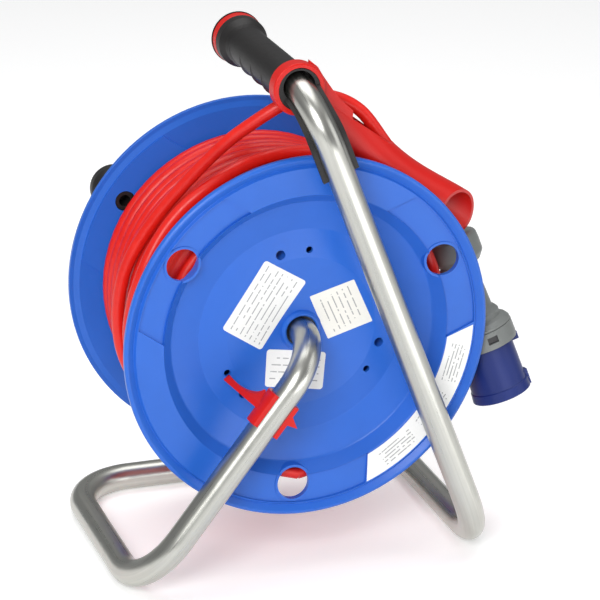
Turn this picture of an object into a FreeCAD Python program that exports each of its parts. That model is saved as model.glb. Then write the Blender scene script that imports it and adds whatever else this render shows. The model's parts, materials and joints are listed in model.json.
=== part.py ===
import FreeCAD, Part
import os, math

V = FreeCAD.Vector
os.makedirs("parts", exist_ok=True)

# ---------------------------------------------------------------- driving dimensions (mm)
# Working frame: origin on the drum axis in the plane of the near rim, X right, Y along the drum axis, Z up.
R_DRUM = 145.0          # flange radius
W_DRUM = 168.0          # over both rims
Y_MID = W_DRUM / 2
T_WALL = 3.0            # flange wall
R_BARREL = 82.0         # winding barrel
R_BORE = 12.2           # hub bore
HOLE_R, HOLE_D = 120.2, 25.5            # three large holes
HOLE_PHI = (25.2, 145.2, 265.2)
SMALL_R = 65.4
SCREW_PHI = (105.3, 225.3, 345.3)       # housing screws
LOCK_PHI = (85.0, 205.0, 325.0)         # holes for the drum lock
PANEL_OUT, PANEL_IN = 26.0, 31.7        # half angles of the flat panel round each large hole

TUBE_R, TUBE_WALL = 10.75, 1.5          # steel tube 21.5 x 1.5
LEG_Y = -24.0
FLOOR_Z = -183.0
FOOT_X = 140.5
FOOT_Y = 191.5
TOP_X, TOP_Z = -9.4, 199.6
AXLE_END_Y = 128.0
GRIP_END_Y = 140.0
BENDS = (38.0, 52.0, 50.0, 50.0, 52.0, 46.0)

GRIP_R = 15.2
RING_R, RING_FAR_R = 20.1, 20.2
RING_C = V(-9.2, 0, 197.0)             # centre of the guide's ring round the grip
CABLE_D = 10.0
COIL_R = 119.5

KNOB_PHI = 145.4
KNOB_END = 211.25

SOCK_R, SOCK_C_PHI = 42.0, 45.3         # blue 16 A socket
SOCK_E_R, SOCK_E_PHI = 40.0, (165.3, 285.3)
BTN_R, BTN_PHI = 40.0, 105.3
PANEL_Y = 149.5                          # face of the socket panel

SHIFT = V(0, -(LEG_Y - TUBE_R + KNOB_END) / 2, TUBE_R - FLOOR_Z)


# ---------------------------------------------------------------- helpers
def pol(r, phi, y=0.0):
    a = math.radians(phi)
    return V(r * math.cos(a), y, r * math.sin(a))


def filleted(pts, closed, f):
    """Edges through pts [(a, b, fillet)] or 3-D points with a radius, each corner rounded by a tangent arc."""
    n = len(pts)
    P = [f(p) for p in pts]
    rad = [p[-1] for p in pts]
    ends = []
    for i in range(n):
        if (not closed and i in (0, n - 1)) or rad[i] <= 0:
            ends.append((P[i], None, P[i]))
            continue
        u = P[i - 1] - P[i]
        v = P[(i + 1) % n] - P[i]
        lu, lv = u.Length, v.Length
        u.normalize()
        v.normalize()
        ang = u.getAngle(v)
        if ang > math.pi - 1e-4:
            ends.append((P[i], None, P[i]))
            continue
        t = rad[i] / math.tan(ang / 2)
        t = min(t, 0.499 * lu, 0.499 * lv)
        r = t * math.tan(ang / 2)
        m = u + v
        m.normalize()
        mid = P[i] + m * (r / math.sin(ang / 2) - r)
        ends.append((P[i] + u * t, mid, P[i] + v * t))
    edges = []
    for i in range(n):
        a, m, b = ends[i]
        if m is not None:
            edges.append(Part.Arc(a, m, b).toShape())
        if i < n - 1 or closed:
            nx = ends[(i + 1) % n][0]
            if (nx - b).Length > 1e-6:
                edges.append(Part.LineSegment(b, nx).toShape())
    return edges


def rev(pts, y_mirror=False, axis_at=None):
    """Solid of revolution round the Y axis from points (r, y[, fillet])."""
    q = [(p[0], (W_DRUM - p[1]) if y_mirror else p[1], p[2] if len(p) > 2 else 0) for p in pts]
    w = Part.Wire(filleted(q, True, lambda p: V(p[0], p[1], 0)))
    s = Part.Face(w).revolve(V(0, 0, 0), V(0, 1, 0), 360)
    if axis_at is not None:
        s.translate(axis_at)
    return solid(s)


def revz(pts):
    """Solid of revolution round the local Z axis from points (r, z[, fillet])."""
    q = [(p[0], p[1], p[2] if len(p) > 2 else 0) for p in pts]
    w = Part.Wire(filleted(q, True, lambda p: V(p[0], 0, p[1])))
    return solid(Part.Face(w).revolve(V(0, 0, 0), V(0, 0, 1), 360))


def solid(s):
    if s.ShapeType == "Solid":
        r = s
    elif s.Solids:
        r = s.Solids[0] if len(s.Solids) == 1 else s
    else:
        r = Part.makeSolid(s)
    if r.ShapeType == "Solid" and r.Volume < 0:
        r.reverse()
    return r


def cyl_y(r, y0, y1, at=V(0, 0, 0)):
    return Part.makeCylinder(r, y1 - y0, V(at.x, y0, at.z), V(0, 1, 0))


def box(x0, x1, y0, y1, z0, z1):
    return Part.makeBox(x1 - x0, y1 - y0, z1 - z0, V(x0, y0, z0))


def prism_y(pts, y0, y1, fil=0):
    w = Part.Wire(filleted([(p[0], p[1], fil) for p in pts], True, lambda p: V(p[0], y0, p[1])))
    return solid(Part.Face(w).extrude(V(0, y1 - y0, 0)))


def path_wire(pts):
    """Straight runs joined by tangent arcs through 3-D points (x, y, z, radius)."""
    return Part.Wire(filleted(pts, False, lambda p: V(p[0], p[1], p[2])))


def pipe(wire, r):
    e = wire.Edges[0]
    p = e.valueAt(e.FirstParameter)
    t = e.tangentAt(e.FirstParameter)
    q = wire.Vertexes[0].Point
    if (q - p).Length > 1e-6:
        p, t = e.valueAt(e.LastParameter), e.tangentAt(e.LastParameter) * -1
    c = Part.Wire(Part.makeCircle(r, p, t))
    s = wire.makePipeShell([c], True, False)
    return solid(s)


def place(s, origin, zdir, xdir):
    z = V(zdir)
    z.normalize()
    y = z.cross(xdir)
    y.normalize()
    x = y.cross(z)
    s = s.copy()
    s.Placement = FreeCAD.Placement(origin, FreeCAD.Rotation(x, y, z, "ZXY")).multiply(s.Placement)
    return s


NODES = []


def out(name, shape, n=1):
    s = shape.copy()
    s = s.removeSplitter() if hasattr(s, "removeSplitter") and s.ShapeType != "Solid" else s
    k = len(s.Solids)
    ok = s.isValid() and k == n
    s.translate(SHIFT)
    if k == 1:
        s = s.Solids[0]
    s.exportStep("parts/%s.step" % name)
    b = s.BoundBox
    NODES.append((name, shape))
    print("%-18s solids %d %s vol %9.1f  x %.1f %.1f y %.1f %.1f z %.1f %.1f" % (
        name, k, "ok" if ok else "BAD", s.Volume, b.XMin, b.XMax, b.YMin, b.YMax, b.ZMin, b.ZMax))


# ---------------------------------------------------------------- steel frame: one bent tube
frame_pts = [(0, AXLE_END_Y, 0, 0), (0, LEG_Y, 0, BENDS[0]), (-FOOT_X, LEG_Y, FLOOR_Z, BENDS[1]),
             (-FOOT_X, FOOT_Y, FLOOR_Z, BENDS[2]), (FOOT_X, FOOT_Y, FLOOR_Z, BENDS[3]),
             (FOOT_X, LEG_Y, FLOOR_Z, BENDS[4]), (TOP_X, LEG_Y, TOP_Z, BENDS[5]), (TOP_X, GRIP_END_Y, TOP_Z, 0)]
fw = path_wire(frame_pts)
frame_outer = pipe(fw, TUBE_R)
frame_tube = frame_outer.cut(pipe(fw, TUBE_R - TUBE_WALL))
out("frame_tube", frame_tube)
print("frame length", round(fw.Length, 1), "outer volume ratio", round(frame_outer.Volume / (math.pi * TUBE_R ** 2 * fw.Length), 4))

# ---------------------------------------------------------------- grip, liner, rings
top = V(TOP_X, 0, TOP_Z)
leg_dir = V(FOOT_X - TOP_X, 0, FLOOR_Z - TOP_Z)
leg_dir.normalize()
leg_side = V(leg_dir.z * -1, 0, leg_dir.x)      # to the right of the right leg

# body of the grip sits a little below the tube's axis, finger hollows on the underside
GRIP_DZ, RIDGE_DZ = 2.7, 4.4
gax = V(TOP_X, 0, TOP_Z - GRIP_DZ)
grip = rev([(0.0001, 12.6), (GRIP_R, 12.6, 0.8), (GRIP_R, 126.0, 10), (GRIP_R + 1.2, 131.0, 3), (RING_FAR_R - 0.4, 136.5, 1.5),
            (RING_FAR_R - 0.2, 144.4), (0.0001, 144.4)], axis_at=gax)
cusps = [20.0, 46.0, 72.0, 98.0, 124.0]
ed = [Part.LineSegment(V(0.0001, 20, 0), V(15.5, 20, 0)).toShape()]
for ya, yb in zip(cusps[:-1], cusps[1:]):
    ed.append(Part.Arc(V(15.5, ya, 0), V(13.7, (ya + yb) / 2, 0), V(15.5, yb, 0)).toShape())
ed += [Part.LineSegment(V(15.5, 124, 0), V(0.0001, 124, 0)).toShape(), Part.LineSegment(V(0.0001, 124, 0), V(0.0001, 20, 0)).toShape()]
ridges = solid(Part.Face(Part.Wire(ed)).revolve(V(0, 0, 0), V(0, 1, 0), 360))
ridges.translate(V(TOP_X, 0, TOP_Z - RIDGE_DZ))
grip = grip.fuse(ridges).cut(cyl_y(TUBE_R + 0.02, 5.0, 150.0, top))
tp = [(TOP_X, 130, TOP_Z, 0), (TOP_X, LEG_Y, TOP_Z, BENDS[5]),
      (TOP_X + leg_dir.x * 110, LEG_Y, TOP_Z + leg_dir.z * 110, 0)]
bend_wire = path_wire(tp)
bend_cut = pipe(bend_wire, TUBE_R + 0.02)
grip = solid(grip.cut(bend_cut))

# liner: a black sleeve inside the near ring that runs on as an open trough behind the bend and down the leg
LIN_RI, LIN_RO = TUBE_R + 0.02, 14.8
leg_len = 68.0
tl = [(TOP_X, 130, TOP_Z, 0), (TOP_X, LEG_Y, TOP_Z, BENDS[5]),
      (TOP_X + leg_dir.x * leg_len, LEG_Y, TOP_Z + leg_dir.z * leg_len, 0)]
lw = path_wire(tl)
liner_out = pipe(lw, LIN_RO)
trough = liner_out.cut(pipe(lw, LIN_RI))
# keep the concave side of the bend: everything behind the tube's outer half
keep_w = path_wire([(TOP_X, 130, TOP_Z, 0), (TOP_X, LEG_Y - 0.6, TOP_Z, BENDS[5]),
                    (TOP_X + leg_dir.x * 140, LEG_Y - 0.6, TOP_Z + leg_dir.z * 140, 0)])
edges = list(keep_w.Edges)
far1 = V(TOP_X + leg_dir.x * 140, 130, TOP_Z + leg_dir.z * 140)
pl = Part.Wire(edges + [Part.LineSegment(V(TOP_X + leg_dir.x * 140, LEG_Y - 0.6, TOP_Z + leg_dir.z * 140), far1).toShape(),
                        Part.LineSegment(far1, V(TOP_X, 130, TOP_Z)).toShape()])
kf = Part.Face(pl)
keep = kf.extrude(leg_side * 40).fuse(kf.extrude(leg_side * -40))
trough = solid(trough.common(keep))
# cut to the stretch in front of the grip body and hollow the top for the bend
trough = solid(trough.common(box(-200, 200, -60, 12.5, 0, 300)))
sleeve = rev([(0.0001, 1.2), (16.25, 1.2, 0.5), (16.25, 12.5), (0.0001, 12.5)], axis_at=RING_C).cut(cyl_y(12.4, 0.0, 14.0, V(TOP_X, 0, TOP_Z - 0.4)))
liner = sleeve.fuse(trough).cut(bend_cut)
liner = solid(liner.removeSplitter())
out("grip_liner", liner)

ring_far = rev([(12.95, 144.5), (RING_FAR_R, 144.5, 1.0), (RING_FAR_R, 152.4, 0.6), (12.95, 152.4)], axis_at=gax)
out("grip_ring_far", ring_far)
cap = cyl_y(TUBE_R - TUBE_WALL, 126.0, 145.0, top).fuse(cyl_y(12.9, 144.5, 152.5, gax))
cap = cap.fuse(cyl_y(20.8, 152.5, 153.4, gax)).fuse(Part.makeCone(20.8, 19.9, 0.8, V(gax.x, 153.4, gax.z), V(0, 1, 0)))
out("grip_cap", solid(cap.removeSplitter()))

# ---------------------------------------------------------------- cable guide: near ring, web and tapered horn in one moulding
G_O = V(63.8, 24.0, 130.3)
G_A = V(62.4, 0, -49.3)
G_A.normalize()
G_W = V(-G_A.z, 0, G_A.x)


def gp(s, w, y):
    return V(G_O.x, y, G_O.z) + G_A * s + G_W * w


def horn(inset):
    prof = []
    for s, w0, hw, yc, b in ((-78, 9.0, 29.0, 30.0, 21.0), (-40, 4.0, 21.8, 28.0, 19.5), (0, -0.6, 16.5, 25.4, 17.3),
                             (50, 0.2, 16.3, 24.2, 16.2), (108, 0.4, 16.0, 24.0, 16.0)):
        c = gp(s, w0, yc)
        big, small = (hw - inset, b - inset)
        if big >= small:
            e = Part.Ellipse(c + G_W * big, c + V(0, small, 0), c) if big > small + 1e-6 else Part.Circle(c, G_A, big)
        else:
            e = Part.Ellipse(c + V(0, small, 0), c + G_W * big, c)
        n = 24
        pts = [c + G_W * (big * math.cos(2 * math.pi * k / n)) + V(0, small * math.sin(2 * math.pi * k / n), 0) for k in range(n)]
        bs = Part.BSplineCurve()
        bs.interpolate(pts, PeriodicFlag=True)
        prof.append(Part.Wire(bs.toShape()))
    return solid(Part.makeLoft(prof, True, False))


def slab(pts_sw, y0=-60, y1=120):
    w = Part.Wire(filleted([(a, b, 0) for a, b in pts_sw], True, lambda p: gp(p[0], p[1], y0)))
    return solid(Part.Face(w).extrude(V(0, y1 - y0, 0)))


g_out = horn(0.0)
g_in = horn(2.3)
horn_shell = g_out.cut(g_in)
horn_shell = horn_shell.cut(slab([(-120, 9.2), (-49, 12.1), (-27, 13.2), (-6, 13.5), (0.0, 15.4), (3.0, 80), (-120, 80)]))   # open top of the trough
horn_shell = horn_shell.cut(box(-200, 11.0, -60, 120, -100, 400))                            # left end
# oblique mouth: the near side ends first
mo = [gp(98.7 + 1.4 * (y - 24.0), -70, y) for y in (-60.0, 110.0)] + [gp(400, -70, 110), gp(400, -70, -60)]
mo = Part.Face(Part.Wire([Part.LineSegment(mo[i], mo[(i + 1) % 4]).toShape() for i in range(4)])).extrude((G_W - G_A * 0.25) * 140)
horn_shell = horn_shell.cut(mo)
horn_shell = solid(horn_shell)
ring = rev([(16.3, 1.0), (RING_R, 1.0, 1.2), (RING_R, 12.4), (16.3, 12.4)], axis_at=RING_C)
web = prism_y([(1.0, 216.5), (7.5, 211.0), (12.0, 203.5), (19.5, 192.5), (27.0, 183.0), (36.0, 174.9), (35.0, 150.5),
               (26.0, 152.0), (8.0, 178.0), (0.0, 181.0)], 9.4, 12.4)
web = web.cut(cyl_y(16.3, 0, 20, RING_C))
print("horn", horn_shell.isValid(), len(horn_shell.Solids), "web", web.isValid())
guide = ring.fuse(web)
guide = guide.cut(pipe(lw, LIN_RO + 0.1))
print("ring web", guide.isValid(), len(guide.Solids))
horn_cut = horn_shell.cut(pipe(lw, LIN_RO + 0.1))
print("horn cut", horn_cut.isValid(), len(horn_cut.Solids))
guide = guide.fuse(horn_cut)
print("guide solids", len(guide.Solids), guide.isValid())
guide = max(guide.Solids, key=lambda q: q.Volume)

# ---------------------------------------------------------------- axle end inside the drum
out("axle_plug", cyl_y(TUBE_R - TUBE_WALL, 112.0, 128.0).cut(cyl_y(2.1, 111, 129)))
out("axle_washer", cyl_y(11.9, 128.0, 129.6).cut(cyl_y(2.7, 127, 131)))
out("axle_screw", cyl_y(2.05, 114.0, 129.6).fuse(cyl_y(4.6, 129.6, 132.4)).cut(box(-5, 5, 131.4, 133, -0.6, 0.6)))

# ---------------------------------------------------------------- drum halves
# outer face from hub to rim at the raised level of the sectors (r, y, fillet)
FACE = [(R_BORE, 17.0, 0), (13.0, 16.2, 0.3), (14.0, 16.2, 0.3), (15.6, 18.0, 0.4), (16.2, 20.3, 0.3), (59.5, 17.2, 1.5),
        (82.0, 19.0, 2.5), (105.6, 13.0, 2.5), (113.6, 2.9, 0.8), (135.8, 0.7, 0.4), (137.4, 2.7, 0.4), (141.2, 0.1, 1.0),
        (142.9, -1.0, 1.4), (145.0, 0.6, 1.4), (145.0, 4.4, 0.5)]
BACK = [(141.6, 4.4, 0.6), (137.0, 5.9, 0.6), (114.9, 6.1, 0.8), (107.0, 16.1, 2.5), (83.6, 22.0, 1.0)]


def y_on(face, r):
    for (r0, y0, _), (r1, y1, _) in zip(face[:-1], face[1:]):
        if min(r0, r1) <= r <= max(r0, r1) and r0 != r1:
            return y0 + (y1 - y0) * (r - r0) / (r1 - r0)
    return face[-1][1]


def wedge(phi, y0, y1, d=0.0):
    """Prism over the flat panel round a large hole: straight slanted ends, d widens it."""
    a1, b1 = pol(134.5, phi - PANEL_OUT - d), pol(113.5, phi - PANEL_IN - d)
    a2, b2 = pol(134.5, phi + PANEL_OUT + d), pol(113.5, phi + PANEL_IN + d)
    A1, B1 = a1 + (a1 - b1) * 0.4, b1 + (b1 - a1) * 0.3
    A2, B2 = a2 + (a2 - b2) * 0.4, b2 + (b2 - a2) * 0.3
    O = pol(200, phi)
    return prism_y([(A1.x, A1.z), (O.x, O.z), (A2.x, A2.z), (B2.x, B2.z), (B1.x, B1.z)], y0, y1)


def half(m):
    """One drum half; m mirrors it to the far side."""
    if not m:
        pts = FACE + BACK + [(R_BARREL, 22.0, 0), (R_BARREL, Y_MID, 0), (R_BARREL - T_WALL, Y_MID, 0), (R_BARREL - T_WALL, 22.2, 1.5),
                             (59.5, 20.4, 1.0), (16.2, 23.6, 0.5), (16.2, 42.0, 0), (R_BORE, 42.0, 0)]
    else:
        pts = [(72.2, 18.6, 0.6)] + FACE[6:] + BACK + [(R_BARREL, 22.0, 0), (R_BARREL, Y_MID, 0), (R_BARREL - T_WALL, Y_MID, 0),
                                                     (R_BARREL - T_WALL, 24.8, 1.0), (72.2, 24.8, 0)]
    s = rev(pts, m)
    ys = (lambda y: W_DRUM - y) if m else (lambda y: y)
    band_out = rev([(113.6, 4.9), (135.3, 2.75), (135.3, -6), (113.6, -6)], m)
    band_in = rev([(114.2, 5.7), (136.6, 5.4), (136.6, 7.1), (115.0, 7.9)], m)
    for phi in HOLE_PHI:
        wd = wedge(phi, -20, 200)
        s = s.cut(band_out.common(wd))
        s = s.fuse(band_in.common(wd))
    s = solid(s.removeSplitter())
    return s


def lip(p, m):
    """Raised lip round a large hole, following the slant of its panel."""
    band = rev([(104.6, 5.1), (136.0, 2.0), (136.0, 4.4), (114.6, 5.6), (106.4, 14.2), (104.6, 14.8)], m)
    return band.common(cyl_y(HOLE_D / 2 + 1.9, -10, 180, p).cut(cyl_y(HOLE_D / 2 - 0.5, -20, 190, p)))


rear = half(False)
front = half(True)
for phi in HOLE_PHI:
    p = pol(HOLE_R, phi)
    rear = rear.fuse(lip(p, False)).cut(cyl_y(HOLE_D / 2, -10, 20, p)).cut(cyl_y(HOLE_D / 2 + 1.1, 8.8, 20, p))
    if abs(phi - KNOB_PHI) > 1:
        front = front.fuse(lip(p, True)).cut(cyl_y(HOLE_D / 2, 150, 180, p))
kp = pol(HOLE_R, KNOB_PHI)
front = front.fuse(cyl_y(13.0, 161.0, 167.6, kp)).cut(cyl_y(6.15, 150, 180, kp)).cut(cyl_y(8.2, 150, 163.4, kp))
# pillars for the housing screws, and the holes for the lock
for phi in SCREW_PHI:
    p = pol(SMALL_R, phi)
    rear = rear.fuse(cyl_y(6.4, 19.6, 60.0, p)).cut(cyl_y(3.75, 0, 34.0, p)).cut(cyl_y(2.1, 30, 61, p))
    front = front.fuse(cyl_y(6.4, 60.0, 143.0, p))
    q = pol(75.6, phi)
    rib = Part.makeBox(9.0, 44.0, 3.0, V(0, 0, -1.5))
    rib.Placement = FreeCAD.Placement(pol(71.0, phi, 90.0), FreeCAD.Rotation(V(0, 1, 0), -phi))
    front = front.fuse(rib).cut(cyl_y(1.7, 59, 85, p)).cut(cyl_y(1.5, 125, 144, p))
for phi in LOCK_PHI:
    p = pol(SMALL_R, phi)
    rear = rear.cut(cyl_y(2.65, 0, 30, p))
# cable entry through the barrel
ENTRY_PHI, ENTRY_Y = 250.0, 31.0
pe = pol(R_BARREL, ENTRY_PHI, ENTRY_Y)
rear = rear.cut(Part.makeCylinder(5.6, 20, pol(72.0, ENTRY_PHI, ENTRY_Y), pol(1, ENTRY_PHI)))
rear = solid(rear.removeSplitter())
front = solid(front.removeSplitter())
out("rear_flange", rear)
out("front_flange", front)

out("hub_bush_rear", rev([(TUBE_R + 0.05, 19.6), (R_BORE, 19.6), (R_BORE, 42.0), (14.6, 42.0, 0.4), (14.6, 44.2), (TUBE_R + 0.05, 44.2)]))
out("hub_bush_front", rev([(TUBE_R + 0.05, 90.0), (R_BORE + 1.6, 90.0), (R_BORE + 1.6, 92.0), (R_BORE, 92.0), (R_BORE, 127.6), (TUBE_R + 0.05, 127.6)]))
if True:
    scr = []
    for a in SCREW_PHI:
        p = pol(SMALL_R, a)
        s = cyl_y(3.4, 31.2, 34.0, p).fuse(cyl_y(1.7, 34.0, 80.0, p))
        s = s.cut(box(p.x - 2.6, p.x + 2.6, 31.0, 32.2, p.z - 0.5, p.z + 0.5)).cut(box(p.x - 0.5, p.x + 0.5, 31.0, 32.2, p.z - 2.6, p.z + 2.6))
        scr.append(s)
    out("housing_screws", Part.makeCompound(scr), 3)
    scr = []
    for a in SCREW_PHI:
        p = pol(SMALL_R, a)
        s = cyl_y(1.5, 129.0, 147.8, p).fuse(cyl_y(3.1, 147.8, 149.9, p))
        s = s.cut(box(p.x - 2.4, p.x + 2.4, 149.0, 150.2, p.z - 0.45, p.z + 0.45)).cut(box(p.x - 0.45, p.x + 0.45, 149.0, 150.2, p.z - 2.4, p.z + 2.4))
        scr.append(s)
    out("panel_screws", Part.makeCompound(scr), 3)

# ---------------------------------------------------------------- socket panel and what it carries
panel = rev([(0.0001, PANEL_Y), (71.6, PANEL_Y, 1.0), (71.6, 143.2), (68.6, 143.2), (68.6, 146.2), (16.4, 146.2), (16.4, 92.0), (R_BORE, 92.0),
             (R_BORE, 146.2), (0.0001, 146.2)])
pc = pol(SOCK_R, SOCK_C_PHI)
pE = [pol(SOCK_E_R, a) for a in SOCK_E_PHI]
pb = pol(BTN_R, BTN_PHI)
panel = panel.cut(cyl_y(22.6, 140, 155, pc))
for p in pE:
    panel = panel.cut(cyl_y(20.9, 140, 155, p))
panel = panel.cut(cyl_y(6.6, 140, 155, pb))
for a in SCREW_PHI:
    p = pol(SMALL_R, a)
    panel = panel.fuse(cyl_y(6.4, 143.0, 147.0, p).common(cyl_y(70.2, 143.0, 147.0))).cut(cyl_y(1.7, 140, 160, p)).cut(cyl_y(3.3, 147.8, 160, p))
out("socket_panel", solid(panel.removeSplitter()))


def radial_frame(phi):
    return pol(1, phi), pol(1, phi + 90)


def at_sock(shape_fn, p):
    s = shape_fn()
    s.translate(V(p.x, 0, p.z))
    return s


# 16 A socket: shroud, contact carrier with three bores
def cee():
    s = rev([(0.0001, 112.0), (22.4, 112.0), (22.4, 149.5), (25.6, 149.5, 0.4), (25.6, 152.0, 1.0), (24.4, 152.6, 0.4), (24.4, 158.0, 0.8), (22.2, 158.0), (22.2, 152.0),
             (21.2, 150.0), (21.2, 118.0), (17.4, 118.0), (17.4, 149.0), (0.0001, 149.0)])
    er, et = radial_frame(SOCK_C_PHI)
    for k, a in enumerate((SOCK_C_PHI, SOCK_C_PHI + 120, SOCK_C_PHI - 120)):
        q = pol(10.2, a)
        s = s.cut(cyl_y(3.2 if k else 3.9, 120, 152, q))
    return s


cee_s = cee()
er, et = radial_frame(SOCK_C_PHI)
key = Part.makeBox(3.6, 27.0, 5.0, V(-1.8, 0, -2.5))
cee_s.translate(V(pc.x, 0, pc.z))


def hinge_lugs(p, phi, rh, yh, wid, base_y):
    """Two lugs with a bore across the radial direction, at distance rh from the socket axis."""
    er, et = radial_frame(phi)
    c = V(p.x, 0, p.z) + er * rh
    lugs = None
    for sgn in (1, -1):
        a = c + et * (sgn * wid) + V(0, yh, 0)
        l = Part.makeCylinder(2.6, 3.0, a - et * 1.5, et)
        b = Part.makeBox(5.2, yh - base_y, 3.0)
        b.Placement = FreeCAD.Placement(c + et * (sgn * wid + 1.5) + V(0, base_y, 0) + er * 2.6,
                                        FreeCAD.Rotation(er * -1, V(0, 1, 0), er.cross(V(0, 1, 0)) * -1, "XYZ"))
        bb = b
        lug = l.fuse(bb)
        lug = lug.cut(Part.makeCylinder(1.05, 8.0, a - et * 4.0, et))
        lugs = lug if lugs is None else lugs.fuse(lug)
    return lugs


HC, HE = 28.0, 25.2       # hinge distance from the socket axis
YHC, YHE = 159.6, 157.8   # hinge height
lugC = hinge_lugs(pc, SOCK_C_PHI, HC, YHC, 9.0, 149.5)
foot = None
er, et = radial_frame(SOCK_C_PHI)


def foot_plate(p, phi, r0, r1, w, y0, y1):
    er, et = radial_frame(phi)
    c = V(p.x, 0, p.z)
    pts = [c + er * r0 + et * w, c + er * r1 + et * w, c + er * r1 - et * w, c + er * r0 - et * w]
    return prism_y([(q.x, q.z) for q in pts], y0, y1)


cee_s = cee_s.fuse(foot_plate(pc, SOCK_C_PHI, 22.6, HC + 1.4, 11.5, 149.5, 151.6).cut(cyl_y(22.3, 140, 160, pc))).fuse(
    lugC.common(foot_plate(pc, SOCK_C_PHI, 10, HC + 8, 20, 149.5, 170)))
out("cee_socket", solid(cee_s.removeSplitter()))

con = []
for k, a in enumerate((SOCK_C_PHI, SOCK_C_PHI + 120, SOCK_C_PHI - 120)):
    q = pol(10.2, a) + pc
    ro = 3.1 if k else 3.8
    con.append(cyl_y(ro, 121, 144, q).cut(cyl_y(ro - 0.8, 124, 145, q)))
out("cee_contacts", Part.makeCompound(con), 3)


def earthed(p, phi):
    s = rev([(0.0001, 122.0), (20.7, 122.0), (20.7, 149.5), (23.6, 149.5, 0.4), (23.6, 152.0, 0.8), (22.6, 152.5, 0.4), (22.6, 156.2, 0.8), (20.6, 156.2), (19.3, 153.4),
             (19.3, 137.0), (0.0001, 137.0)])
    er, et = radial_frame(phi)
    for sgn in (1, -1):
        q = et * (9.5 * sgn)
        s = s.cut(cyl_y(2.6, 124, 140, q))
    for sgn in (1, -1):
        c = er * (19.3 * sgn)
        pts = [c * 0.86 + et * 3.4, c * 1.045 + et * 3.4, c * 1.045 - et * 3.4, c * 0.86 - et * 3.4]
        s = s.cut(prism_y([(v.x, v.z) for v in pts], 128, 153))
    s.translate(V(p.x, 0, p.z))
    s = s.fuse(foot_plate(p, phi, 21.0, HE + 1.4, 11.5, 149.5, 151.4).cut(cyl_y(20.8, 140, 160, p)))
    s = s.fuse(hinge_lugs(p, phi, HE, YHE, 9.0, 149.5).common(foot_plate(p, phi, 10, HE + 8, 20, 149.5, 170)))
    return solid(s.removeSplitter())


for nm, p, phi in (("earthed_socket_a", pE[0], SOCK_E_PHI[0]), ("earthed_socket_b", pE[1], SOCK_E_PHI[1])):
    out(nm, earthed(p, phi))
con, clips = [], []
for p, phi in zip(pE, SOCK_E_PHI):
    er, et = radial_frame(phi)
    for sgn in (1, -1):
        q = p + et * (9.5 * sgn)
        con.append(cyl_y(2.5, 125, 134, q).cut(cyl_y(1.9, 127, 135, q)))
        c = er * (19.3 * sgn)
        a = [c * 0.89 + et * 3.0, c * 0.94 + et * 3.0, c * 0.94 - et * 3.0, c * 0.89 - et * 3.0]
        b = [c * 0.87 + et * 3.0, c * 1.03 + et * 3.0, c * 1.03 - et * 3.0, c * 0.87 - et * 3.0]
        s = prism_y([(v.x, v.z) for v in a], 129, 150).fuse(prism_y([(v.x, v.z) for v in b], 128.2, 129.4))
        s.translate(V(p.x, 0, p.z))
        clips.append(solid(s.removeSplitter()))
out("socket_contacts", Part.makeCompound(con), 4)
out("earth_clips", Part.makeCompound(clips), 4)

# hinge pins, springs (as thin sleeves), lids
pins, springs = [], []


def lid(p, phi, rh, yh, r, y0, t):
    er, et = radial_frame(phi)
    s = rev([(0.0001, y0), (r, y0, 0.3), (r, y0 + t, 1.2), (0.0001, y0 + t + 0.8)])
    s.translate(V(p.x, 0, p.z))
    c = V(p.x, 0, p.z) + er * rh + V(0, yh, 0)
    kn = Part.makeCylinder(2.6, 13.6, c - et * 6.8, et)
    pts = [V(p.x, 0, p.z) + er * (r - 6) + et * 6.8, V(p.x, 0, p.z) + er * rh + et * 6.8, V(p.x, 0, p.z) + er * rh - et * 6.8, V(p.x, 0, p.z) + er * (r - 6) - et * 6.8]
    arm = prism_y([(q.x, q.z) for q in pts], y0 + 0.4, y0 + t - 0.1)
    s = s.fuse(kn).fuse(arm)
    s = s.cut(Part.makeCylinder(1.05, 30, c - et * 15, et))
    s = s.cut(Part.makeCylinder(2.7, 5.4, c - et * 2.7, et))
    # lift tab opposite the hinge
    tb = [V(p.x, 0, p.z) - er * (r - 1.5) + et * 5, V(p.x, 0, p.z) - er * (r + 1.6) + et * 4, V(p.x, 0, p.z) - er * (r + 1.6) - et * 4, V(p.x, 0, p.z) - er * (r - 1.5) - et * 5]
    s = s.fuse(prism_y([(q.x, q.z) for q in tb], y0 + 0.2, y0 + t - 0.4))
    pins.append(Part.makeCylinder(1.0, 21.0, c - et * 10.5, et))
    springs.append(Part.makeCylinder(2.1, 5.0, c - et * 2.5, et).cut(Part.makeCylinder(1.05, 6.0, c - et * 3.0, et)))
    return solid(s.removeSplitter()), c, et


lids = {}
for nm, p, phi, rh, yh, r, y0, t in (("cee_lid", pc, SOCK_C_PHI, HC, YHC, 24.9, 158.5, 2.6),
                                     ("earthed_lid_a", pE[0], SOCK_E_PHI[0], HE, YHE, 22.9, 156.7, 2.4),
                                     ("earthed_lid_b", pE[1], SOCK_E_PHI[1], HE, YHE, 22.9, 156.7, 2.4)):
    s, c, et = lid(p, phi, rh, yh, r, y0, t)
    lids[nm] = (c, et)
    out(nm, s)
out("lid_pins", Part.makeCompound(pins), 3)
out("lid_springs", Part.makeCompound(springs), 3)
# rubber seals lie inside the lids, clear of the sockets
seals = []
for p, r, y0 in ((pc, 22.4, 158.5), (pE[0], 20.4, 156.7), (pE[1], 20.4, 156.7)):
    seals.append(rev([(r - 1.6, y0), (r, y0), (r, y0 - 0.25), (r - 1.6, y0 - 0.25)], axis_at=V(p.x, 0, p.z)))
for nm, s in zip(("cee_lid_seal", "earthed_lid_seal_a", "earthed_lid_seal_b"), seals):
    out(nm, s)

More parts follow.
